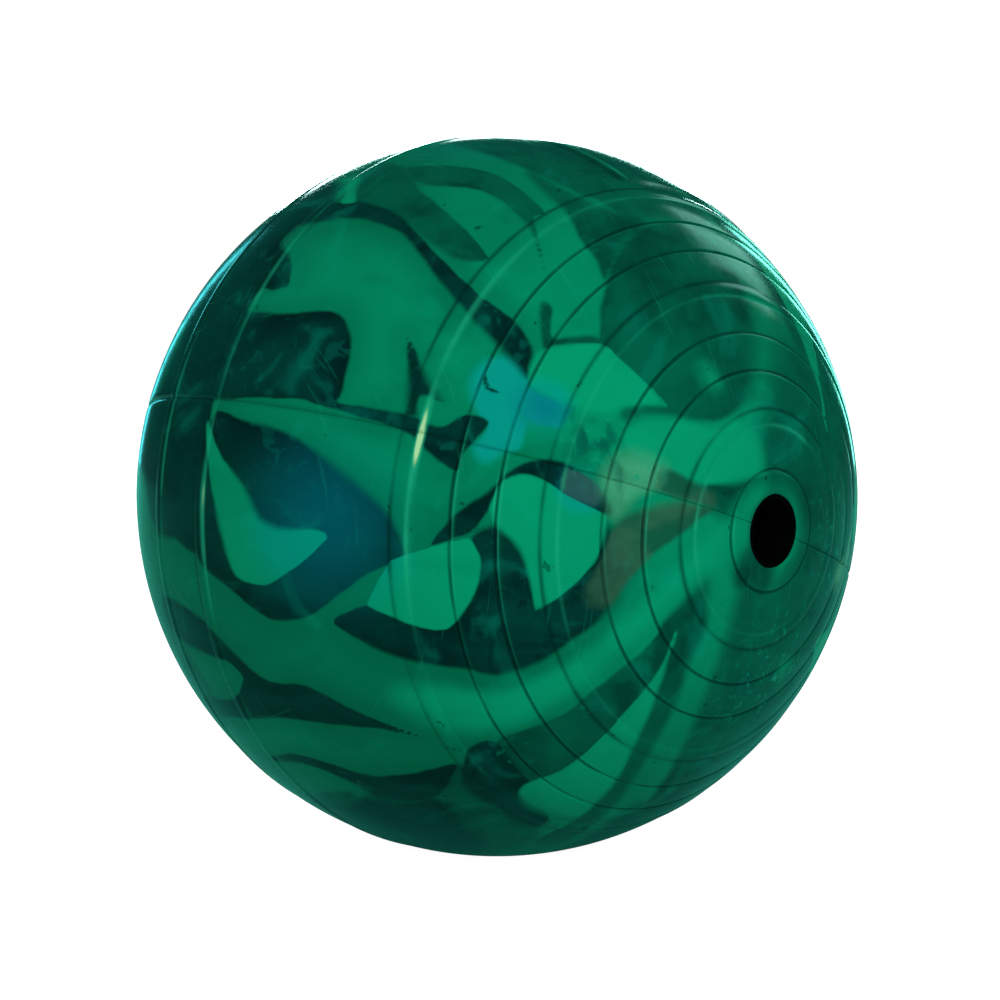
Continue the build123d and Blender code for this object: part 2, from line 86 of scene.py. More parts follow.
# Colour shapes in the plastic, and some shapes of painted shade, glow and reflection, marked where they
# stand.
# A shape is a closed outline of (angle from the hole, turn from the seam, blur of the edge there), all in
# degrees.
# Turn grows downwards on the side that the camera sees.
DEEP = {
    "square": ((67, -2, 0.3), (67, -8, 0.4), (69, -13, 0.4), (73, -15.3, 0.3), (81, -13.5, 0.4),
               (90, -13.3, 0.5), (97, -12, 1), (97, 0, 1), (88, 0, 0.3), (80, -0.8, 0.2), (73, -1.5, 0.2)),
    "far_mass": ((83, -18, 0.12), (85, -21.5, 0.3), (88, -24, 0.5), (91.5, -26, 0.8), (90, -31, 1),
                 (87, -34, 0.6), (90, -38, 1), (94, -41, 2), (99, -43, 2), (107, -36, 1.5), (112, -27, 1),
                 (121, -24, 0.8), (116, -18, 0.8), (109, -14, 1.5), (108, -4, 1.5), (114, 3, 0.8),
                 (118, 11, 0.8), (110, 13, 0.8), (104, 20, 1), (96, 20.7, 0.6), (89, 21.5, 0.5),
                 (88.5, 10, 0.8), (89, 3, 0.3), (89, -12, 0.5), (88.5, -17, 0.3), (86, -17, 0.3)),
    "horseshoe": ((88, 1.5, 0.15), (80, 2.7, 0.5), (75, 3.3, 0.5), (70, 4.7, 0.6), (66, 6.7, 1),
                  (61.7, 9.3, 1), (58.3, 12, 0.8), (55.4, 16, 0.6), (54.2, 20.7, 0.12), (59.2, 22.7, 0.2),
                  (66.7, 28, 0.2), (70.8, 30, 0.3), (76.7, 30.1, 0.3), (83.3, 26.3, 0.3), (90, 22.3, 0.5),
                  (91, 12, 0.5)),
    "hook": ((27.5, 13, 1), (29, 21.6, 0.2), (31, 25.6, 0.2), (34.5, 30, 0.15), (38, 32.4, 0.2),
             (38, 27, 0.4), (38.5, 22.4, 0.5), (40, 17.6, 0.6), (42.5, 14.3, 0.6), (45.8, 16.8, 0.3),
             (44.6, 20, 0.15), (45.5, 26.5, 0.3), (50, 33, 0.2), (56.5, 30.4, 0.2), (60.5, 28, 0.2),
             (66.2, 30.4, 0.12), (62, 34, 0.5), (56.5, 37.6, 0.5), (50, 40.6, 0.4), (45, 44, 0.5),
             (39, 44, 0.5), (35, 42, 0.4), (30, 39, 0.8), (27, 33, 2), (25, 26, 2.5)),
    "arch": ((27.5, 10, 0.6), (28.5, 4.8, 0.5), (33, 0, 0.3), (36, -0.8, 0.3), (39, 0.4, 0.3),
             (41.5, 3.2, 0.3), (44, 8, 0.4), (48, 12.8, 0.3), (51.3, 18.6, 0.1), (48, 16.8, 0.2),
             (45.5, 15.4, 0.2), (43.5, 10.5, 0.3), (42.3, 6, 0.2), (40, 3.6, 0.3), (37, 4, 0.2),
             (34.5, 6, 0.15), (31, 8, 0.2)),
    "long_arc": ((43.1, -15, 0.5), (43.5, -19, 0.6), (45.4, -22, 0.4), (48.3, -24.3, 0.3),
                 (54.6, -25.7, 0.15), (60, -28, 0.2), (66.7, -30.9, 0.2), (75.4, -34.7, 0.5),
                 (87, -35, 0.6), (91, -29.5, 1), (80, -31.7, 0.5), (70, -30.7, 0.5), (60.8, -25.3, 0.5),
                 (50.4, -19.5, 0.7), (46.5, -17.5, 1)),
    "seam_blob": ((45.8, -4.4, 0.2), (49, -4.8, 0.2), (52, -1.5, 0.3), (56.5, -2.4, 0.3), (65, -2, 0.2),
                  (71, -1.4, 0.2), (57, 0.2, 0.3), (53.5, 2.4, 0.4), (48.5, 5.2, 0.2), (48, 1.6, 0.2)),
    "ramp": ((60.6, -14.6, 0.2), (58.5, -9.5, 0.6), (57.3, -5, 1), (56.5, -2.5, 0.5), (55.3, -2.5, 0.5),
             (55.4, -5.8, 0.3), (52, -5.6, 0.3), (53.5, -7, 0.8), (56, -9.3, 0.8), (58, -12, 0.3)),
    "fleck": ((45.2, -10.2, 0.15), (46.3, -10.9, 0.2), (47.4, -11.2, 0.2), (48.4, -12.9, 0.15),
              (48.4, -11.5, 0.2), (47.7, -10.3, 0.2), (46.4, -10.1, 0.2)),
    "low_band": ((55, 57, 0.1), (60, 51.1, 0.15), (66.7, 45.3, 0.3), (73.3, 40.7, 0.3), (80, 40.3, 0.3),
                 (85.8, 36, 0.5), (91.7, 31.7, 0.5), (100, 30.3, 0.5), (105, 31, 1), (104, 36.5, 0.8),
                 (95, 37.7, 0.5), (88, 38, 0.3), (85, 40.3, 0.12), (90, 44.7, 0.3), (100, 47, 0.5),
                 (106, 49, 1), (103, 51.5, 0.8), (93, 49, 0.5), (80, 46.7, 0.3), (70, 48, 0.3),
                 (63.8, 49.5, 0.2), (60, 51.8, 0.1)),
    "low_wedge": ((56.7, 59.4, 0.3), (62.5, 59.3, 0.3), (70, 58.7, 0.4), (77, 55.3, 0.3), (83.3, 54, 0.3),
                  (91, 57, 0.6), (83.3, 56, 0.4), (79, 57, 0.4), (75, 60, 0.6), (73, 64, 1), (66, 66, 0.3),
                  (62, 65, 0.2), (59, 62, 0.2)),
    "bottom_mass": ((64, 66.8, 0.6), (70, 66, 0.6), (75, 63.5, 1), (80, 66, 1.5), (86, 67, 2), (90, 66, 3),
                    (92, 76, 3), (84, 86, 4), (74, 88, 4), (67, 82, 2.5), (64.5, 74, 1.5)),
    "low_blob": ((50, 57.7, 0.3), (53.5, 57, 0.3), (56, 60, 0.5), (58.5, 65, 0.8), (58.5, 74, 1.5),
                 (58, 84, 1.2), (54.6, 82.7, 0.15), (50.8, 74.7, 0.15), (50, 66, 0.5)),
}
MID = {
    "cloud": ((25, -28.6, 0.15), (28, -29.6, 0.2), (34.5, -30.3, 0.15), (37, -30.3, 0.15), (40, -36, 0.5),
              (42.5, -43, 0.5), (45.5, -51, 1), (48.5, -61, 1.5), (49, -70, 1), (47, -76, 1),
              (42, -80.5, 1), (36, -81, 1.5), (28, -78, 2.5), (21.5, -71, 2), (18.6, -62, 1),
              (18, -51, 0.6), (18.4, -42, 0.6), (20, -34.5, 0.6), (22.4, -29.6, 0.6), (25.6, -24.5, 0.6),
              (29, -17.5, 0.8), (30, -19, 0.8), (28.4, -23, 0.6), (26.4, -26, 0.5)),
    "cloud_arm": ((43, -44, 0.6), (46, -46, 0.6), (50, -47.4, 0.5), (55, -50.6, 0.8), (62, -52.5, 1),
                  (66, -55, 1.5), (58, -56, 1), (54, -58, 1.5), (49, -62, 1.5), (46, -55, 2)),
    "vee": ((37.4, -30.4, 0.3), (39.5, -30, 0.4), (43, -25.2, 0.3), (45.3, -30.6, 0.4), (47, -30, 0.6),
            (43.4, -22.6, 0.3), (42.3, -23.8, 0.3)),
    "upper_wedge": ((56.7, -33, 0.15), (65, -37, 0.3), (74.2, -40.3, 0.4), (80, -44, 1), (85, -46.5, 1),
                    (91, -47, 2), (92, -42, 1.5), (84, -36, 0.8), (75, -34, 1), (61, -30, 0.6)),
    "upper_arc": ((50, -36.8, 0.3), (53.8, -41.7, 0.3), (57.5, -45.5, 0.15), (56.7, -47.7, 0.15),
                  (65, -50, 0.3), (70, -50.2, 0.3), (79, -47.3, 0.5), (82.5, -45, 1), (74.6, -42, 0.5),
                  (66.7, -45.2, 0.4), (56.7, -43, 0.4)),
    "left_band": ((14, 42, 1.5), (18, 45.5, 1), (22, 49.3, 0.6), (23.5, 52.8, 0.3), (28, 55, 0.4),
                  (35, 57, 0.3), (40, 58.5, 0.3), (51, 58.4, 0.3), (52, 72, 0.3), (40, 73, 0.3),
                  (30, 69, 0.5), (23, 62, 0.5), (17, 61, 1), (14.5, 52, 1.5)),
    "diagonal": ((14.5, 50, 1.5), (18, 56, 1), (22, 56, 0.8), (28, 68, 0.6), (34, 77, 0.6), (42, 84.5, 0.4),
                 (48, 87, 0.4), (55, 88, 0.6), (62, 88.8, 1), (64, 95, 1.5), (53, 93.6, 1), (46, 91, 1),
                 (40, 87.5, 1), (33, 83.5, 1), (28, 80, 1), (22, 72, 1), (17, 65, 1)),
    "under": ((8, 60, 2.5), (11, 70, 2), (16, 80, 1.5), (24, 88, 1.5), (34, 94.5, 1), (44, 99, 1),
              (56, 103, 2), (56, 120, 3), (36, 120, 3), (20, 112, 3), (8, 95, 3)),
    "crown": ((46, -58, 1.5), (53, -59, 1), (60, -56, 0.8), (70, -55, 0.8), (82, -56, 1.5), (88, -62, 3),
              (80, -72, 3), (68, -78, 3), (56, -84, 3), (47, -82, 3), (49, -68, 2)),
    # low_shade is painted shade: a middling tone over the lower part of the ball.
    "low_shade": ((56, 60, 0.6), (66, 64, 0.8), (77, 62, 0.8), (88, 66, 1), (88, 76, 2), (78, 86, 3),
                  (66, 90, 3), (59, 86, 1), (56, 76, 1)),
    "hole_side": ((6, -62, 3), (14, -64, 3), (18, -76, 3), (30, -95, 4), (34, -130, 4), (34, -180, 4),
                  (34, -230, 4), (30, -258, 4), (18, -270, 3), (8, -262, 3), (6, -180, 3), (6, -120, 3)),
    "by_hole": ((7.5, -62, 2), (8.5, -52, 1.5), (9, -38, 1), (10.5, -25, 0.8), (12.5, -17, 0.5),
                (15, -10.5, 0.5), (14, -4, 1.5), (12.6, 0, 1.5), (9.5, 2, 2), (8.6, -20, 2), (8, -40, 2)),
    "round_hole": ((4.5, 38, 1.5), (8, 42, 1.5), (10, 56, 1.5), (10.6, 80, 1.5), (10, 105, 2),
                   (4.5, 110, 2)),
}
ISLANDS = {
    "wedge": ((20.6, 55.2, 0.12), (24.5, 62.6, 0.3), (28.5, 66.5, 0.3), (34.5, 68.8, 0.2), (40, 71, 0.2),
              (46, 71.6, 0.3), (52, 70.6, 0.4), (54, 77, 1.5), (52, 87, 1), (47, 86, 0.5), (42, 84, 0.5),
              (36, 79, 0.6), (30, 73.5, 0.6), (25, 65.5, 0.5), (22, 60, 0.4)),
    "spur": ((83.2, -35.2, 0.3), (86, -34.8, 0.3), (87.5, -37.5, 0.5), (91, -40.5, 0.8), (94, -42, 1.2),
             (90, -42.5, 1), (87, -39.5, 0.8), (85, -37, 0.5)),
    "cloud_speck": ((22.2, -52, 2.2), (23.5, -52.4, 2.2), (25, -50.5, 3), (24.2, -48, 3), (23, -48, 2.5)),
    "patch": ((89.5, 3.2, 0.3), (87.5, 9.5, 0.3), (84.6, 17.3, 0.8), (81.5, 24.4, 0.3), (75.8, 25.3, 0.15),
              (70, 22, 0.15), (65.2, 17.7, 0.1), (67, 16.8, 0.3), (75.4, 16.6, 1), (80, 11.7, 0.6),
              (85.8, 7.3, 0.3)),
    "drop": ((28, 10, 0.15), (34.5, 6, 0.15), (37, 4, 0.2), (40, 3.6, 0.3), (42.3, 6, 0.2),
             (43.5, 10.5, 0.3), (42.5, 14.3, 0.6), (40, 17.6, 0.6), (38.5, 22.4, 0.5), (38, 32.4, 0.12),
             (34.5, 30, 0.15), (31, 25.6, 0.2), (28.6, 19, 0.2)),
    "leaf": ((45.8, 16.8, 0.12), (51.3, 18.6, 0.15), (56.5, 20.8, 0.15), (60.5, 28, 0.12),
             (56.5, 30.4, 0.2), (50, 33, 0.2), (45.5, 26.5, 0.3), (44.5, 21, 0.2)),
    "above_seam": ((27.2, -28.8, 0.3), (31, -29.8, 0.2), (34.5, -30.3, 0.2), (37, -30.3, 0.2),
                   (41, -25, 0.6), (43.6, -20, 0.6), (42.6, -14.2, 0.3), (38, -13.4, 0.6), (35, -14, 1),
                   (31, -16, 1), (30.6, -19, 0.6), (28.6, -23, 0.5), (26.6, -26.6, 0.4)),
    "channel": ((9, 8, 3), (14, 22, 2), (20, 35, 1.5), (27, 42, 1.5), (35, 46.5, 1.2), (45, 48, 1.2),
                (54, 43, 2), (60, 44, 3), (52, 54, 2), (40, 55, 1.5), (30, 51, 1.5), (20, 44, 2),
                (12, 32, 3)),
    # hole_glow is a painted glow on the upper side of the hole.
    "hole_glow": ((9, -58, 1.5), (14, -60, 1.5), (17, -50, 1), (17.6, -40, 0.8), (19.6, -33, 0.6),
                  (24, -25, 0.6), (28, -17.5, 0.6), (27.5, -10, 0.6), (22, -9.6, 0.4), (16, -10, 0.5),
                  (13, -17.5, 0.5), (11, -26, 0.6), (9.6, -38, 0.8)),
}
BROWN = {
    "brown": ((12.6, 0.4, 0.4), (14.3, 7, 0.5), (16.6, 14, 0.5), (20, 20.5, 0.5), (25, 29.5, 0.6),
              (28, 35.5, 0.8), (30.5, 34, 1.5), (31, 30, 1), (29.5, 25, 0.5), (28.3, 21, 0.4),
              (27.3, 15, 0.4), (26, 10.5, 0.8), (23, 7, 1), (20, 3.5, 1), (17, 0.5, 0.8)),
    "arch_end": ((29.4, 3.4, 0.5), (31.5, 1, 0.4), (34.4, 0.5, 0.3), (34.4, 5.4, 0.4), (31.2, 7.4, 0.4),
                 (29.6, 7.6, 0.6)),
    "smoke": ((13.5, -9.5, 1), (17, -9.8, 0.6), (22, -9.4, 0.8), (22.5, -5, 1), (22, -1, 0.5),
              (17, -0.6, 0.4), (13, -0.6, 0.8), (12.4, -4, 1)),
}
CREAM = {
    "cream": ((22, -9, 2), (25, -9, 2), (28, -7, 1.6), (29.5, 0, 1.6), (28.2, 7, 1.4), (27, 11, 1.2),
              (25.6, 8, 1.2), (24.4, 3, 1.2), (22.6, 0, 1), (21.6, -3, 1.5)),
}
# Painted reflections: pale blue-green patches that stand in for a bright window mirrored in the shell near
# the seam.
TURQUOISE_REFLECTIONS = {
    "window": ((36.7, -14.2, 0.4), (40, -13.3, 0.5), (42.6, -13.8, 0.12), (42.6, -8.6, 0.12),
               (41, -7.2, 0.5), (39, -7.4, 0.3), (36.8, -8.6, 0.3)),
    "glow": ((42.7, -14, 0.4), (44, -17, 0.8), (47, -17.3, 0.8), (49.3, -15, 1), (50, -11, 1.2),
             (49, -8, 1), (47.6, -5.6, 0.5), (46, -4.6, 0.4), (46, -2, 0.5), (47, 0.5, 0.8), (45, 3, 1),
             (42.6, 0, 0.5), (41, -1.5, 0.5), (41.2, -7, 0.5), (42.6, -8.4, 0.3)),
}

LAYERS = {"deep": DEEP, "mid": MID, "island": ISLANDS, "brown": BROWN, "turquoise_reflection": TURQUOISE_REFLECTIONS, "cream": CREAM}
FADE_BACK = 91.5  # shapes nearer the hole than this are repeated round the far pole
HOLE_ZONE = 13.0  # a shape that starts this near the hole has no copy across it
FAR_SPREAD = 186.0  # a copy round the far pole sits at this less the angle of its original
FAR_TURNS = (118, 296)
OUTSIDE = -8.0  # depth given to a point that is in no shape's reach
CORNER_BLUR = 0.15  # a point as crisp as this is a corner
LEAST_BLUR = 0.08
CURVE_STEPS = (0, 0.25, 0.5, 0.75)

# Soft patches as (angle, turn, reach)
TEAL_SPOTS = ((66, 15, 18), (39.7, -10.8, 6), (80, -60, 16), (32, 4, 5))
MOTTLED_SPOTS = ((32, -9, 8), (25, -5, 6), (36.5, 61, 3), (48.5, 62, 4), (22, 120, 15), (18, 190, 14))

# Light caught by the rings. A stretch is (middle turn, spread, strength).
RING_LIGHT = 0.25
LIT_STRETCHES = ((10, 25, 0.5), (-95, 25, 0.4))
GLINTS = (  # (angle, width, stretches)
    (54.1, 0.36, ((-15, 32, 0.45), (1, 6, 1.5))),
    (88.5, 0.45, ((-10, 20, 0.4), (16, 7, 0.7))),
    (42.95, 0.14, ((9, 7, 1.1),)),
)

# ---------------------------------------------------------------- studio
AZIMUTH, ELEVATION = math.radians(47.6), math.radians(6.6)
CAMERA_DISTANCE = 5 * BALL_RADIUS * MM
LENS, SENSOR = 63.5, 36.0
LENS_SHIFT = (0.0033, -0.0037)
WORLD_LIGHT = 0.26
MIRRORED_TINT = (0.03, 0.5, 0.38, 1)  # keeps a white haze off the green plastic
FLOOR_HALF = 60.0
FLOOR_GLOW = 0.94  # lifts the floor towards white for the camera only
LAMPS = (  # name, place to the camera's right, up and back, size, power, colour, part in the light
    ("front_soft", (-0.12, 0.35, 0.9), (0.7, 0.7), 6.8, (1, 1, 1), "plastic"),
    ("top_rim", (0.0, 0.36, -0.92), (0.5, 0.1), 3.4, (0.62, 1, 0.97), "mirror"),
    ("top_right", (0.53, 0.56, -0.5), (0.3, 0.26), 0.55, (0.45, 1, 0.92), "mirror"),
    ("right_strip", (0.4, 0.1, -0.85), (0.06, 0.7), 1.3, (0.22, 1, 0.8), "mirror"),
    ("side_fill", (0.62, 0.03, 0.62), (0.4, 0.14), 2.4, (1, 1, 1), "plastic"),
    ("back_soft", (-0.2, 0.5, -0.9), (0.6, 0.5), 5.5, (1, 1, 1), "plastic"),
    ("left_strip", (-0.42, 0.12, -0.88), (0.06, 0.7), 0.5, (0.1, 0.9, 1), "mirror"),
)


# ---------------------------------------------------------------- shell shape
def seam_point(angle, turn):
    """Unit vectors from the centre, before the seam is tilted."""
    a, t = np.radians(angle), np.radians(turn)
    return np.stack([np.cos(a), -np.sin(a) * np.cos(t), -np.sin(a) * np.sin(t)], axis=-1)


def tilt(points):
    """Turns points about X by the tilt of the seam."""
    c, s = math.cos(math.radians(-SEAM_TILT)), math.sin(math.radians(-SEAM_TILT))
    x, y, z = points[..., 0], points[..., 1], points[..., 2]
    return np.stack([x, y * c - z * s, y * s + z * c], axis=-1)


def smooth(value, low, high):
    """Smooth step from 0 at low to 1 at high."""
    t = np.clip((value - low) / (high - low), 0, 1)
    return t * t * (3 - 2 * t)


def ring_profile(angle):
    """Radius of the outside at an angle from the hole."""
    radius = np.full_like(angle, BALL_RADIUS)
    rings = sorted([(a, BEAD_HALF_WIDTH) for a in BEADS] + [(a, GROOVE_HALF_WIDTH) for a in GROOVES])
    reached = 0.0
    for centre, half in rings:
        start = centre - half
        if start - reached < NARROW_BAND:
            t = np.clip((angle - reached) / (start - reached), 0, 1)
            radius += BAND_CROWN * 4 * t * (1 - t)
        reached = centre + half
    for centre in BEADS:
        t = np.clip(1 - ((angle - centre) / BEAD_HALF_WIDTH) ** 2, 0, 1)
        radius += BEAD_HEIGHT * t
    for centre in GROOVES:
        radius -= GROOVE_DEPTH * np.clip(1 - np.abs(angle - centre) / GROOVE_HALF_WIDTH, 0, 1)
    return radius


def rows():
    """Angles of the rows of the shell mesh, closer together at each ring."""
    start = math.degrees(math.asin(HOLE_RADIUS / BALL_RADIUS))
    made = list(np.arange(start, PLAIN_ROWS_END, ROW_STEP))
    for centre in BEADS:
        steps = range(-BEAD_ROWS - 1, BEAD_ROWS + 2)
        made += [centre + BEAD_HALF_WIDTH * k / BEAD_ROWS for k in steps]
    for centre in GROOVES:
        steps = range(-2 * GROOVE_ROWS, 4 * GROOVE_ROWS)
        made += [centre + GROOVE_HALF_WIDTH * k / GROOVE_ROWS for k in steps]
    made = np.array(sorted(made + [LAST_ROW]))
    keep = np.concatenate([[True], np.diff(made) > ROW_GAP])
    return made[keep]


def panel_step(angle, turn):
    """Height of the low raised panel on the upper half."""
    across = smooth(angle, PANEL_FROM, PANEL_FROM + PANEL_FROM_RISE)
    across = across * (1 - smooth(angle, PANEL_TO - PANEL_TO_RISE, PANEL_TO))
    around = smooth(-turn, -PANEL_EDGE, -PANEL_EDGE + PANEL_EDGE_RISE)
    return PANEL_HEIGHT * across * around * (1 - smooth(-turn, *PANEL_FADE_TURNS))


# ---------------------------------------------------------------- colour shapes
def closed_spline(points):
    """Smooth curve round a closed outline, with a corner at each point of crisp blur."""
    p = np.array(points, float)
    tangent = (np.roll(p, -1, axis=0) - np.roll(p, 1, axis=0)) / 2
    tangent[p[:, 2] <= CORNER_BLUR] = 0
    made = []
    for i in range(len(p)):
        j = (i + 1) % len(p)
        for t in CURVE_STEPS:
            made.append((2 * t**3 - 3 * t**2 + 1) * p[i] + (t**3 - 2 * t**2 + t) * tangent[i]
                        + (3 * t**2 - 2 * t**3) * p[j] + (t**3 - t**2) * tangent[j])
    return np.array(made)


def copies(outline):
    """The outline, its copy on the back, and copies round the far pole for one that is near the hole."""
    made = [outline]
    if min(a for a, _, _ in outline) > HOLE_ZONE:
        made.append([(a, t + 180, w) for a, t, w in outline])
    if max(a for a, _, _ in outline) < FADE_BACK:
        made += [[(FAR_SPREAD - a, turn - t, w) for a, t, w in outline] for turn in FAR_TURNS]
    return made


def inside(angle, turn, line):
    """True where a point lies within the outline, by crossing count."""
    odd = np.zeros(len(angle), bool)
    for (a1, t1, _), (a2, t2, _) in zip(line, np.roll(line, -1, axis=0)):
        spans = (t1 > turn) != (t2 > turn)
        rise = t2 - t1 if t2 != t1 else 1e-9
        odd ^= spans & (angle < (a2 - a1) * (turn - t1) / rise + a1)
    return odd


def nearest_edge(points, edge, blurs):
    """Distance in degrees from each point to the outline, and the blur of the edge there."""
    gap, soft = np.full(len(points), np.inf), np.ones(len(points))
    for start, end, blur in zip(edge, np.roll(edge, -1, axis=0), blurs):
        along = end - start
        away = points - start
        share = np.clip(away @ along / max(along @ along, 1e-9), 0, 1)
        found = np.degrees(np.linalg.norm(away - share[:, None] * along, axis=1))
        soft = np.where(found < gap, blur, soft)
        gap = np.minimum(gap, found)
    return gap, soft


def shape_field(direction, angle, turn, shapes):
    """Depth inside the nearest shape, in degrees and below 0 outside, and the blur of its edge there."""
    best = np.full(len(direction), OUTSIDE)
    blur = np.ones(len(direction))
    for outline in (copy for shape in shapes.values() for copy in copies(shape)):
        line = closed_spline(outline)
        edge = seam_point(line[:, 0], line[:, 1])
        middle = edge.mean(axis=0)
        reach = np.linalg.norm(edge - middle, axis=1).max() - math.radians(OUTSIDE)
        near = np.flatnonzero(np.linalg.norm(direction - middle, axis=1) < reach)
        gap, soft = nearest_edge(direction[near], edge, line[:, 2])
        centre = line[:, 1].mean()
        local = (turn[near] - centre + 180) % 360 - 180 + centre
        depth = np.where(inside(angle[near], local, line), gap, -gap)
        wins = depth > best[near]
        best[near] = np.where(wins, depth, best[near])
        blur[near] = np.where(wins, soft, blur[near])
    return best, np.maximum(blur, LEAST_BLUR)


def spot_field(direction, spots):
    """Soft patch of 0 to 1 round each spot, with a copy on the back of one that is clear of the hole."""
    field = np.zeros(len(direction))
    for angle, turn, reach in spots:
        for extra in (0, 180) if angle > reach + HOLE_ZONE else (0,):
            away = np.degrees(np.linalg.norm(direction - seam_point(angle, turn + extra), axis=1))
            field = np.maximum(field, 1 - smooth(away, 0, reach))
    return field


def line_at(value, centre, width):
    """Soft line of 1 at the centre."""
    return np.exp(-(((value - centre) / width) ** 2))


def stretches_at(turn, stretches):
    """Strength of the light at a turn round the ball."""
    return sum(strength * line_at(turn, middle, spread) for middle, spread, strength in stretches)


def painted_ring_shade(angle, turn):
    """Painted shade, below 0, on the dark side of a ring and painted highlight, above 0, on its light side,
    which is the one nearer the hole.
    """
    lit = RING_LIGHT + stretches_at(turn, LIT_STRETCHES)
    shade = np.zeros_like(angle)
    for centre in GROOVES:
        shade += 0.8 * lit * line_at(angle, centre - 0.45, 0.2) - line_at(angle, centre, 0.24)
    for centre in BEADS:
        shade += lit * line_at(angle, centre - BEAD_HALF_WIDTH, 0.35)
        shade -= 0.9 * line_at(angle, centre + BEAD_HALF_WIDTH, 0.34)
    return shade


def glint(angle, turn):
    """Pale glints where the light catches some of the rings near the seam."""
    return sum(line_at(angle, at, width) * stretches_at(turn, stretches) for at, width, stretches in GLINTS)


def painted_panel_shade(angle, turn):
    """Painted shade along the foot of the raised panel's edge, with a painted highlight on its crest."""
    across = (turn - PANEL_EDGE) * np.sin(np.radians(angle))
    starts = smooth(angle, PANEL_FROM, PANEL_FROM + 2)
    ends = smooth(angle, PANEL_TO - PANEL_TO_RISE, PANEL_TO)
    return starts * (1 - ends) * (0.8 * line_at(across, -1.3, 0.5) - line_at(across, 0, 0.5))


def colour_fields(angle, turn, direction):
    """Numbers on the vertices that the shell's material turns into colour, by name."""
    wrapped = (turn + 180) % 360 - 180
    fields = {
        # ring: painted highlights, painted shade and painted glints along the rings and the panel's edge
        "ring": painted_ring_shade(angle, wrapped) + painted_panel_shade(angle, wrapped) + glint(angle, wrapped),
        "teal": spot_field(direction, TEAL_SPOTS),
        "mottled": spot_field(direction, MOTTLED_SPOTS),
    }
    for name, shapes in LAYERS.items():
        fields[name], fields[name + "_blur"] = shape_field(direction, angle, turn, shapes)
    return fields


def shell_faces(row_count):
    """Faces of half a shell: outside, inside, both seam faces, and the rims at the hole and the far pole."""
    width = COLUMNS + 1
    count = row_count * width
    faces = []
    for i in range(row_count - 1):
        for j in range(COLUMNS):
            a, b = i * width + j, i * width + j + 1
            faces.append((a, a + width, b + width, b))
            faces.append((count + b, count + b + width, count + a + width, count + a))
        for j, flip in ((0, False), (COLUMNS, True)):
            a = i * width + j
            rim = (a, count + a, count + a + width, a + width)
            faces.append(rim[::-1] if flip else rim)
    last = count - width
    for j in range(COLUMNS):
        faces.append((j + 1, count + j + 1, count + j, j))
        faces.append((last + j, count + last + j, count + last + j + 1, last + j + 1))
    return faces


def shell_half(name, first_turn):
    """Closed mesh of one half of the shell, with its swirl fields and its painted ring light and shade on the
    vertices.
    """
    angles = rows()
    turns = first_turn + np.linspace(0, 180, COLUMNS + 1)
    grid_a, grid_t = np.meshgrid(angles, turns, indexing="ij")
    flat_a, flat_t = grid_a.ravel(), grid_t.ravel()
    direction = seam_point(flat_a, flat_t)
    at_seam = np.zeros(grid_a.shape, bool)
    at_seam[:, 0] = at_seam[:, -1] = True
    radius = ring_profile(flat_a) + panel_step(flat_a, (flat_t + 180) % 360 - 180)
    radius = radius - SEAM_CHAMFER * at_seam.ravel()
    outer = tilt(direction * radius[:, None])
    inner = tilt(direction * INNER_RADIUS)
    mesh = bpy.data.meshes.new(name)
    mesh.from_pydata((np.concatenate([outer, inner]) * MM).tolist(), [], shell_faces(len(angles)))
    mesh.validate()
    for field, values in colour_fields(flat_a, flat_t, direction).items():
        layer = mesh.attributes.new(field, "FLOAT", "POINT")
        layer.data.foreach_set("value", np.concatenate([values, values]).astype(np.float32))
    mesh.shade_smooth()
    made = bpy.data.objects.new(name, mesh)
    bpy.context.scene.collection.objects.link(made)
    return made


# ---------------------------------------------------------------- materials
def linear(*srgb):
    """Linear colour from 8-bit sRGB."""
    return tuple((c / 255 / 12.92) if c < 11 else ((c / 255 + 0.055) / 1.055) ** 2.4 for c in srgb) + (1.0,)


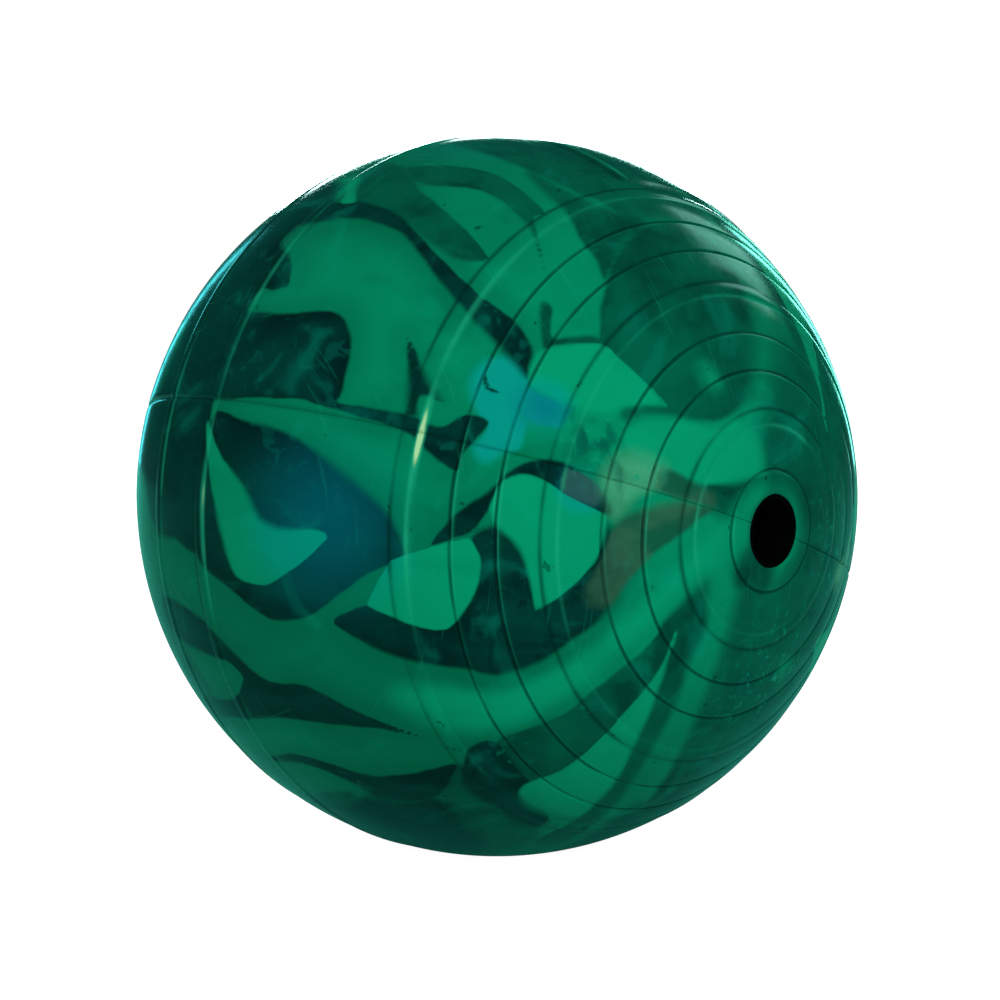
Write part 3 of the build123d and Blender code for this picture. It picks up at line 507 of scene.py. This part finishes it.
class Nodes:
    """Small helper that adds and links shader nodes."""

    def __init__(self, name):
        self.material = bpy.data.materials.new(name)
        self.material.use_nodes = True
        self.tree = self.material.node_tree
        self.bsdf = self.tree.nodes["Principled BSDF"]
        self.coordinate = self.tree.nodes.new("ShaderNodeTexCoord").outputs["Object"]

    def feed(self, socket, value):
        if isinstance(value, bpy.types.NodeSocket):
            self.tree.links.new(value, socket)
        else:
            socket.default_value = value

    def noise(self, scale, detail=4.0, distortion=0.0, stretch=(1, 1, 1)):
        mapping = self.tree.nodes.new("ShaderNodeMapping")
        mapping.inputs["Scale"].default_value = stretch
        self.feed(mapping.inputs["Vector"], self.coordinate)
        node = self.tree.nodes.new("ShaderNodeTexNoise")
        self.feed(node.inputs["Vector"], mapping.outputs[0])
        node.inputs["Scale"].default_value = scale
        node.inputs["Detail"].default_value = detail
        node.inputs["Distortion"].default_value = distortion
        return node.outputs["Fac"]

    def field(self, name):
        node = self.tree.nodes.new("ShaderNodeAttribute")
        node.attribute_name = name
        return node.outputs["Fac"]

    def math(self, kind, a, b=0.0):
        node = self.tree.nodes.new("ShaderNodeMath")
        node.operation = kind
        self.feed(node.inputs[0], a)
        self.feed(node.inputs[1], b)
        return node.outputs[0]

    def times(self, a, b):
        return self.math("MULTIPLY", a, b)

    def span(self, value, low, high, to_low=0.0, to_high=1.0):
        """Smooth step from to_low to to_high as the value goes from low to high."""
        node = self.tree.nodes.new("ShaderNodeMapRange")
        node.interpolation_type = "SMOOTHSTEP"
        for socket, number in zip(list(node.inputs)[:5], (value, low, high, to_low, to_high)):
            self.feed(socket, number)
        return node.outputs[0]

    def mix(self, factor, a, b):
        node = self.tree.nodes.new("ShaderNodeMix")
        node.data_type = "RGBA"
        self.feed(node.inputs[0], factor)
        self.feed(node.inputs[6], a)
        self.feed(node.inputs[7], b)
        return node.outputs[2]

    def bump(self, height, strength, distance):
        node = self.tree.nodes.new("ShaderNodeBump")
        node.inputs["Strength"].default_value = strength
        node.inputs["Distance"].default_value = distance
        self.feed(node.inputs["Height"], height)
        self.feed(self.bsdf.inputs["Normal"], node.outputs[0])

    def set(self, **values):
        for name, value in values.items():
            self.feed(self.bsdf.inputs[name.replace("_", " ")], value)


def swirled_colour(n, cover):
    """Colour of the swirls: light plastic with deep, middling, bright, brown and cream shapes, and painted
    blue-green reflections of a window.
    """
    teal = n.field("teal")
    large, streak = n.noise(22, 3), n.noise(60, 5, 0.6, (1, 1, 2.2))
    ripple = n.span(n.noise(120, 3, 0.6, (1, 1, 0.35)), 0.4, 0.62)
    light = n.mix(n.span(large, 0.35, 0.65), linear(1, 106, 73), linear(1, 126, 87))
    light = n.mix(n.span(streak, 0.5, 0.75, 0, 0.4), light, linear(1, 90, 60))
    light = n.mix(n.times(teal, 0.45), light, linear(1, 128, 118))
    light = n.mix(n.span(n.field("deep"), -5, 0, 0, 0.38), light, linear(1, 84, 58))
    deep = n.mix(n.span(streak, 0.38, 0.7), linear(1, 31, 29), linear(1, 52, 45))
    deep = n.mix(n.span(n.field("deep"), 0.6, 4.5, 0, 0.25), deep, linear(1, 62, 54))
    milky = n.times(n.span(n.noise(260, 6, 1.0), 0.55, 0.66), n.span(large, 0.42, 0.58))
    deep = n.mix(n.times(milky, 0.5), deep, linear(1, 82, 70))
    deep = n.mix(n.times(teal, 0.75), deep, linear(1, 88, 98))
    middle = n.mix(n.span(streak, 0.35, 0.65), linear(1, 50, 40), linear(1, 74, 56))
    middle = n.mix(n.times(ripple, 0.5), middle, linear(1, 92, 68))
    bright = n.mix(n.span(teal, 0, 0.5), linear(3, 141, 98), linear(1, 142, 119))
    bright = n.mix(n.span(streak, 0.5, 0.72, 0, 0.35), bright, linear(1, 118, 80))
    # colour of the painted reflections: pale blue-green, deeper blue where the teal field is
    painted_reflection = n.mix(teal, linear(4, 142, 132), linear(2, 108, 124))
    earth = n.mix(n.span(streak, 0.4, 0.6), linear(16, 66, 50), linear(42, 84, 63))
    earth = n.mix(n.span(teal, 0, 0.5), earth, linear(38, 80, 76))
    cream = n.mix(n.span(streak, 0.4, 0.6), linear(62, 140, 102), linear(76, 166, 124))
    colour = n.mix(cover("mid", 0.92), light, middle)
    # painted reflection of a window laid over the swirls
    colour = n.mix(cover("turquoise_reflection", 0.75), colour, painted_reflection)
    colour = n.mix(cover("deep"), colour, deep)
    colour = n.mix(cover("island", 0.9), colour, bright)
    colour = n.mix(cover("brown", 0.85), colour, earth)
    return n.mix(cover("cream", 0.62), colour, cream)


def mottled_colour(n, cover, colour):
    """Adds dark crumbs and pale froth in the mottled patches, and faint clouds all over."""
    mottled = n.times(n.field("mottled"), 0.9)
    crumbs, froth = n.noise(300, 6, 0.3, (1, 1, 0.6)), n.noise(620, 3, 0.2)
    pale = n.mix(cover("brown"), linear(8, 140, 106), linear(70, 160, 122))
    colour = n.mix(n.times(n.span(crumbs, 0.46, 0.66), mottled), colour, linear(2, 74, 62))
    colour = n.mix(n.times(n.span(froth, 0.56, 0.74), mottled), colour, pale)
    return n.mix(n.times(n.span(n.noise(75, 6, 1.2), 0.55, 0.72), 0.22), colour, linear(1, 150, 122))


def painted_ring_light(n, colour):
    """Adds the painted highlights and painted shade on the two sides of the rings, and the painted glints on
    them.
    """
    # The ring field is painted light: above 0 it gives painted highlights and glints, below 0 painted shade.
    ring = n.times(n.field("ring"), n.span(n.noise(70, 3), 0.35, 0.6, 0.45, 1.15))
    colour = n.mix(n.span(ring, 0, 1, 0, 0.5), colour, linear(30, 170, 126))
    colour = n.mix(n.span(ring, 0, -1, 0, 0.62), colour, linear(1, 32, 28))
    return n.mix(n.span(ring, 0.9, 1.7, 0, 0.8), colour, linear(170, 220, 160))


def worn_colour(n, colour, scratch):
    """Adds dark specks and fine pale scratches."""
    specks = n.span(n.noise(420, 2), 0.72, 0.76)
    colour = n.mix(n.times(specks, 0.55), colour, linear(1, 24, 20))
    return n.mix(n.times(scratch, 0.09), colour, linear(20, 150, 118))


def shell_material():
    """Glossy translucent green with dark swirls, mottled patches, fine scratches and specks, and painted
    highlights, shade and reflections.
    """
    n = Nodes("swirled_green")
    ragged = n.times(n.math("SUBTRACT", n.noise(260, 4), 0.5), 0.7)
    scratch = n.span(n.noise(62, 2, 0.2, (1, 26, 1)), 0.68, 0.72)

    def cover(layer, strength=1.0):
        """How much a layer covers what is under it, with a ragged edge as soft as its blur."""
        depth = n.math("ADD", n.field(layer), ragged)
        blur = n.field(layer + "_blur")
        return n.times(n.span(depth, n.times(blur, -1.0), blur), strength)

    colour = swirled_colour(n, cover)
    colour = mottled_colour(n, cover, colour)
    colour = painted_ring_light(n, colour)
    colour = worn_colour(n, colour, scratch)
    rough = n.math("ADD", n.span(n.noise(900, 3), 0.3, 0.7, 0.12, 0.2), n.times(scratch, 0.15))
    n.set(Base_Color=colour, Roughness=rough, IOR=1.45, Specular_IOR_Level=0.2)
    n.set(Specular_Tint=linear(10, 200, 160), Subsurface_Weight=0.1, Subsurface_Scale=0.002)
    n.set(Subsurface_Radius=(0.2, 1.0, 0.7))
    n.bump(n.math("ADD", n.times(n.noise(120, 3), 0.7), n.times(scratch, -0.3)), 0.1, 0.0003)
    return n.material


def plain_material(name, low, high, roughness, metallic=0.0,
                   grain=300, bump=0.2, stretch=(1, 1, 1), shine=0.5):
    """Moulded plastic or turned steel: colour variation, uneven gloss and fine grain."""
    n = Nodes(name)
    grainy, wear = n.noise(grain, 4, 0, stretch), n.noise(45, 5)
    colour = n.mix(n.span(grainy, 0.35, 0.65), low, high)
    colour = n.mix(n.span(wear, 0.58, 0.8, 0, 0.4), colour, high)
    n.set(Base_Color=colour, Metallic=metallic, Specular_IOR_Level=shine)
    n.set(Roughness=n.span(wear, 0.3, 0.7, roughness * 0.8, roughness * 1.25))
    n.bump(grainy, bump, 0.0002)
    return n.material


# ---------------------------------------------------------------- pieces
def add_shell():
    """The two swirled halves, in place of the plain ones of the frame."""
    swirled = shell_material()
    for node_name, first in (("upper_shell", 180.0), ("lower_shell", 0.0)):
        half = shell_half(node_name + "_swirled", first)
        half.data.materials.append(swirled)
        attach(half, "case")
        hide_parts(node_name)


def finish_inside():
    """Gives the liner, decks, spacers, spine and balls their materials."""
    liner = plain_material("liner_black", linear(1, 2, 2), linear(3, 4, 4), 0.95, shine=0.02)
    deck = plain_material("deck_green", linear(8, 74, 60), linear(22, 104, 84), 0.42)
    grey = plain_material("spacer_grey", linear(96, 100, 100), linear(126, 130, 130), 0.5)
    steel = plain_material("turned_steel", linear(150, 152, 154), linear(192, 194, 196), 0.28, 1.0,
                           grain=500, bump=0.15, stretch=(9, 1, 1))
    polished = plain_material("polished_ball", linear(196, 198, 200), linear(222, 224, 226), 0.09, 1.0,
                              grain=700, bump=0.04)
    starts = {"entry_tube": liner, "spacer": grey, "spine": steel, "steel_ball": polished}
    for name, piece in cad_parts.items():
        if name.endswith("_shell"):
            continue
        chosen = next((material for start, material in starts.items() if name.startswith(start)), deck)
        piece.data.materials.clear()
        piece.data.materials.append(chosen)


# ---------------------------------------------------------------- studio
BACK = Vector((math.sin(AZIMUTH) * math.cos(ELEVATION), -math.cos(AZIMUTH) * math.cos(ELEVATION),
               math.sin(ELEVATION)))
RIGHT = Vector((math.cos(AZIMUTH), math.sin(AZIMUTH), 0))
UP = BACK.cross(RIGHT)


def add_lamps():
    """Soft boxes aimed at the ball. Each one either lights its plastic or is mirrored in it."""
    for name, (right, up, back), size, power, colour, part in LAMPS:
        data = bpy.data.lights.new(name, "AREA")
        data.shape = "RECTANGLE"
        data.size, data.size_y = size
        data.energy = power
        data.color = colour
        lamp = bpy.data.objects.new(name, data)
        lamp.location = RIGHT * right + UP * up + BACK * back
        lamp.rotation_euler = (-lamp.location).to_track_quat("-Z", "Y").to_euler()
        lamp.visible_diffuse = part == "plastic"
        lamp.visible_glossy = part == "mirror"
        bpy.context.scene.collection.objects.link(lamp)


def tinted_when_mirrored(tree, is_glossy):
    """Mix node whose colour turns to the tint in reflections. Its plain colour is at input 6."""
    node = tree.nodes.new("ShaderNodeMix")
    node.data_type = "RGBA"
    node.inputs[7].default_value = MIRRORED_TINT
    tree.links.new(is_glossy, node.inputs[0])
    return node


def add_world():
    """White to the camera, and dimmer for the light that it gives."""
    world = bpy.data.worlds.new("studio")
    world.use_nodes = True
    tree = world.node_tree
    backdrop = tree.nodes["Background"]
    ray = tree.nodes.new("ShaderNodeLightPath")
    level = tree.nodes.new("ShaderNodeMapRange")
    level.inputs["To Min"].default_value = WORLD_LIGHT
    level.inputs["To Max"].default_value = 1.0
    tree.links.new(ray.outputs["Is Camera Ray"], level.inputs["Value"])
    tree.links.new(level.outputs[0], backdrop.inputs[1])
    tinted = tinted_when_mirrored(tree, ray.outputs["Is Glossy Ray"])
    tinted.inputs[6].default_value = (1, 1, 1, 1)
    tree.links.new(tinted.outputs[2], backdrop.inputs[0])
    bpy.context.scene.world = world


def floor_material():
    """Pale floor that glows for the camera and is green in reflections."""
    pale = plain_material("floor_pale", linear(168, 168, 168), linear(174, 174, 174), 0.9)
    tree = pale.node_tree
    surface = tree.nodes["Principled BSDF"]
    ray = tree.nodes.new("ShaderNodeLightPath")
    tinted = tinted_when_mirrored(tree, ray.outputs["Is Glossy Ray"])
    tree.links.new(surface.inputs["Base Color"].links[0].from_socket, tinted.inputs[6])
    tree.links.new(tinted.outputs[2], surface.inputs["Base Color"])
    glow = tree.nodes.new("ShaderNodeMath")
    glow.operation = "MULTIPLY"
    glow.inputs[1].default_value = FLOOR_GLOW
    tree.links.new(ray.outputs["Is Camera Ray"], glow.inputs[0])
    tree.links.new(glow.outputs[0], surface.inputs["Emission Strength"])
    surface.inputs["Emission Color"].default_value = (1, 1, 1, 1)
    return pale


def add_floor():
    """Plain floor at the foot of the ball."""
    corners = [(-1, -1), (1, -1), (1, 1), (-1, 1)]
    places = [(x * FLOOR_HALF, y * FLOOR_HALF, CAD_BOX[0].z) for x, y in corners]
    mesh = bpy.data.meshes.new("floor")
    mesh.from_pydata(places, [], [(0, 1, 2, 3)])
    mesh.materials.append(floor_material())
    floor = bpy.data.objects.new("floor", mesh)
    bpy.context.scene.collection.objects.link(floor)


def add_camera():
    """Camera at the photograph's viewing angle."""
    data = bpy.data.cameras.new("camera")
    data.lens = LENS
    data.sensor_width = SENSOR
    data.shift_x, data.shift_y = LENS_SHIFT
    data.clip_start = 0.01
    camera = bpy.data.objects.new("camera", data)
    camera.location = BACK * CAMERA_DISTANCE
    camera.rotation_euler = BACK.to_track_quat("Z", "Y").to_euler()
    bpy.context.scene.collection.objects.link(camera)
    bpy.context.scene.camera = camera
    bpy.context.scene.view_settings.view_transform = "Standard"


add_shell()
finish_inside()
add_lamps()
add_world()
add_floor()
add_camera()
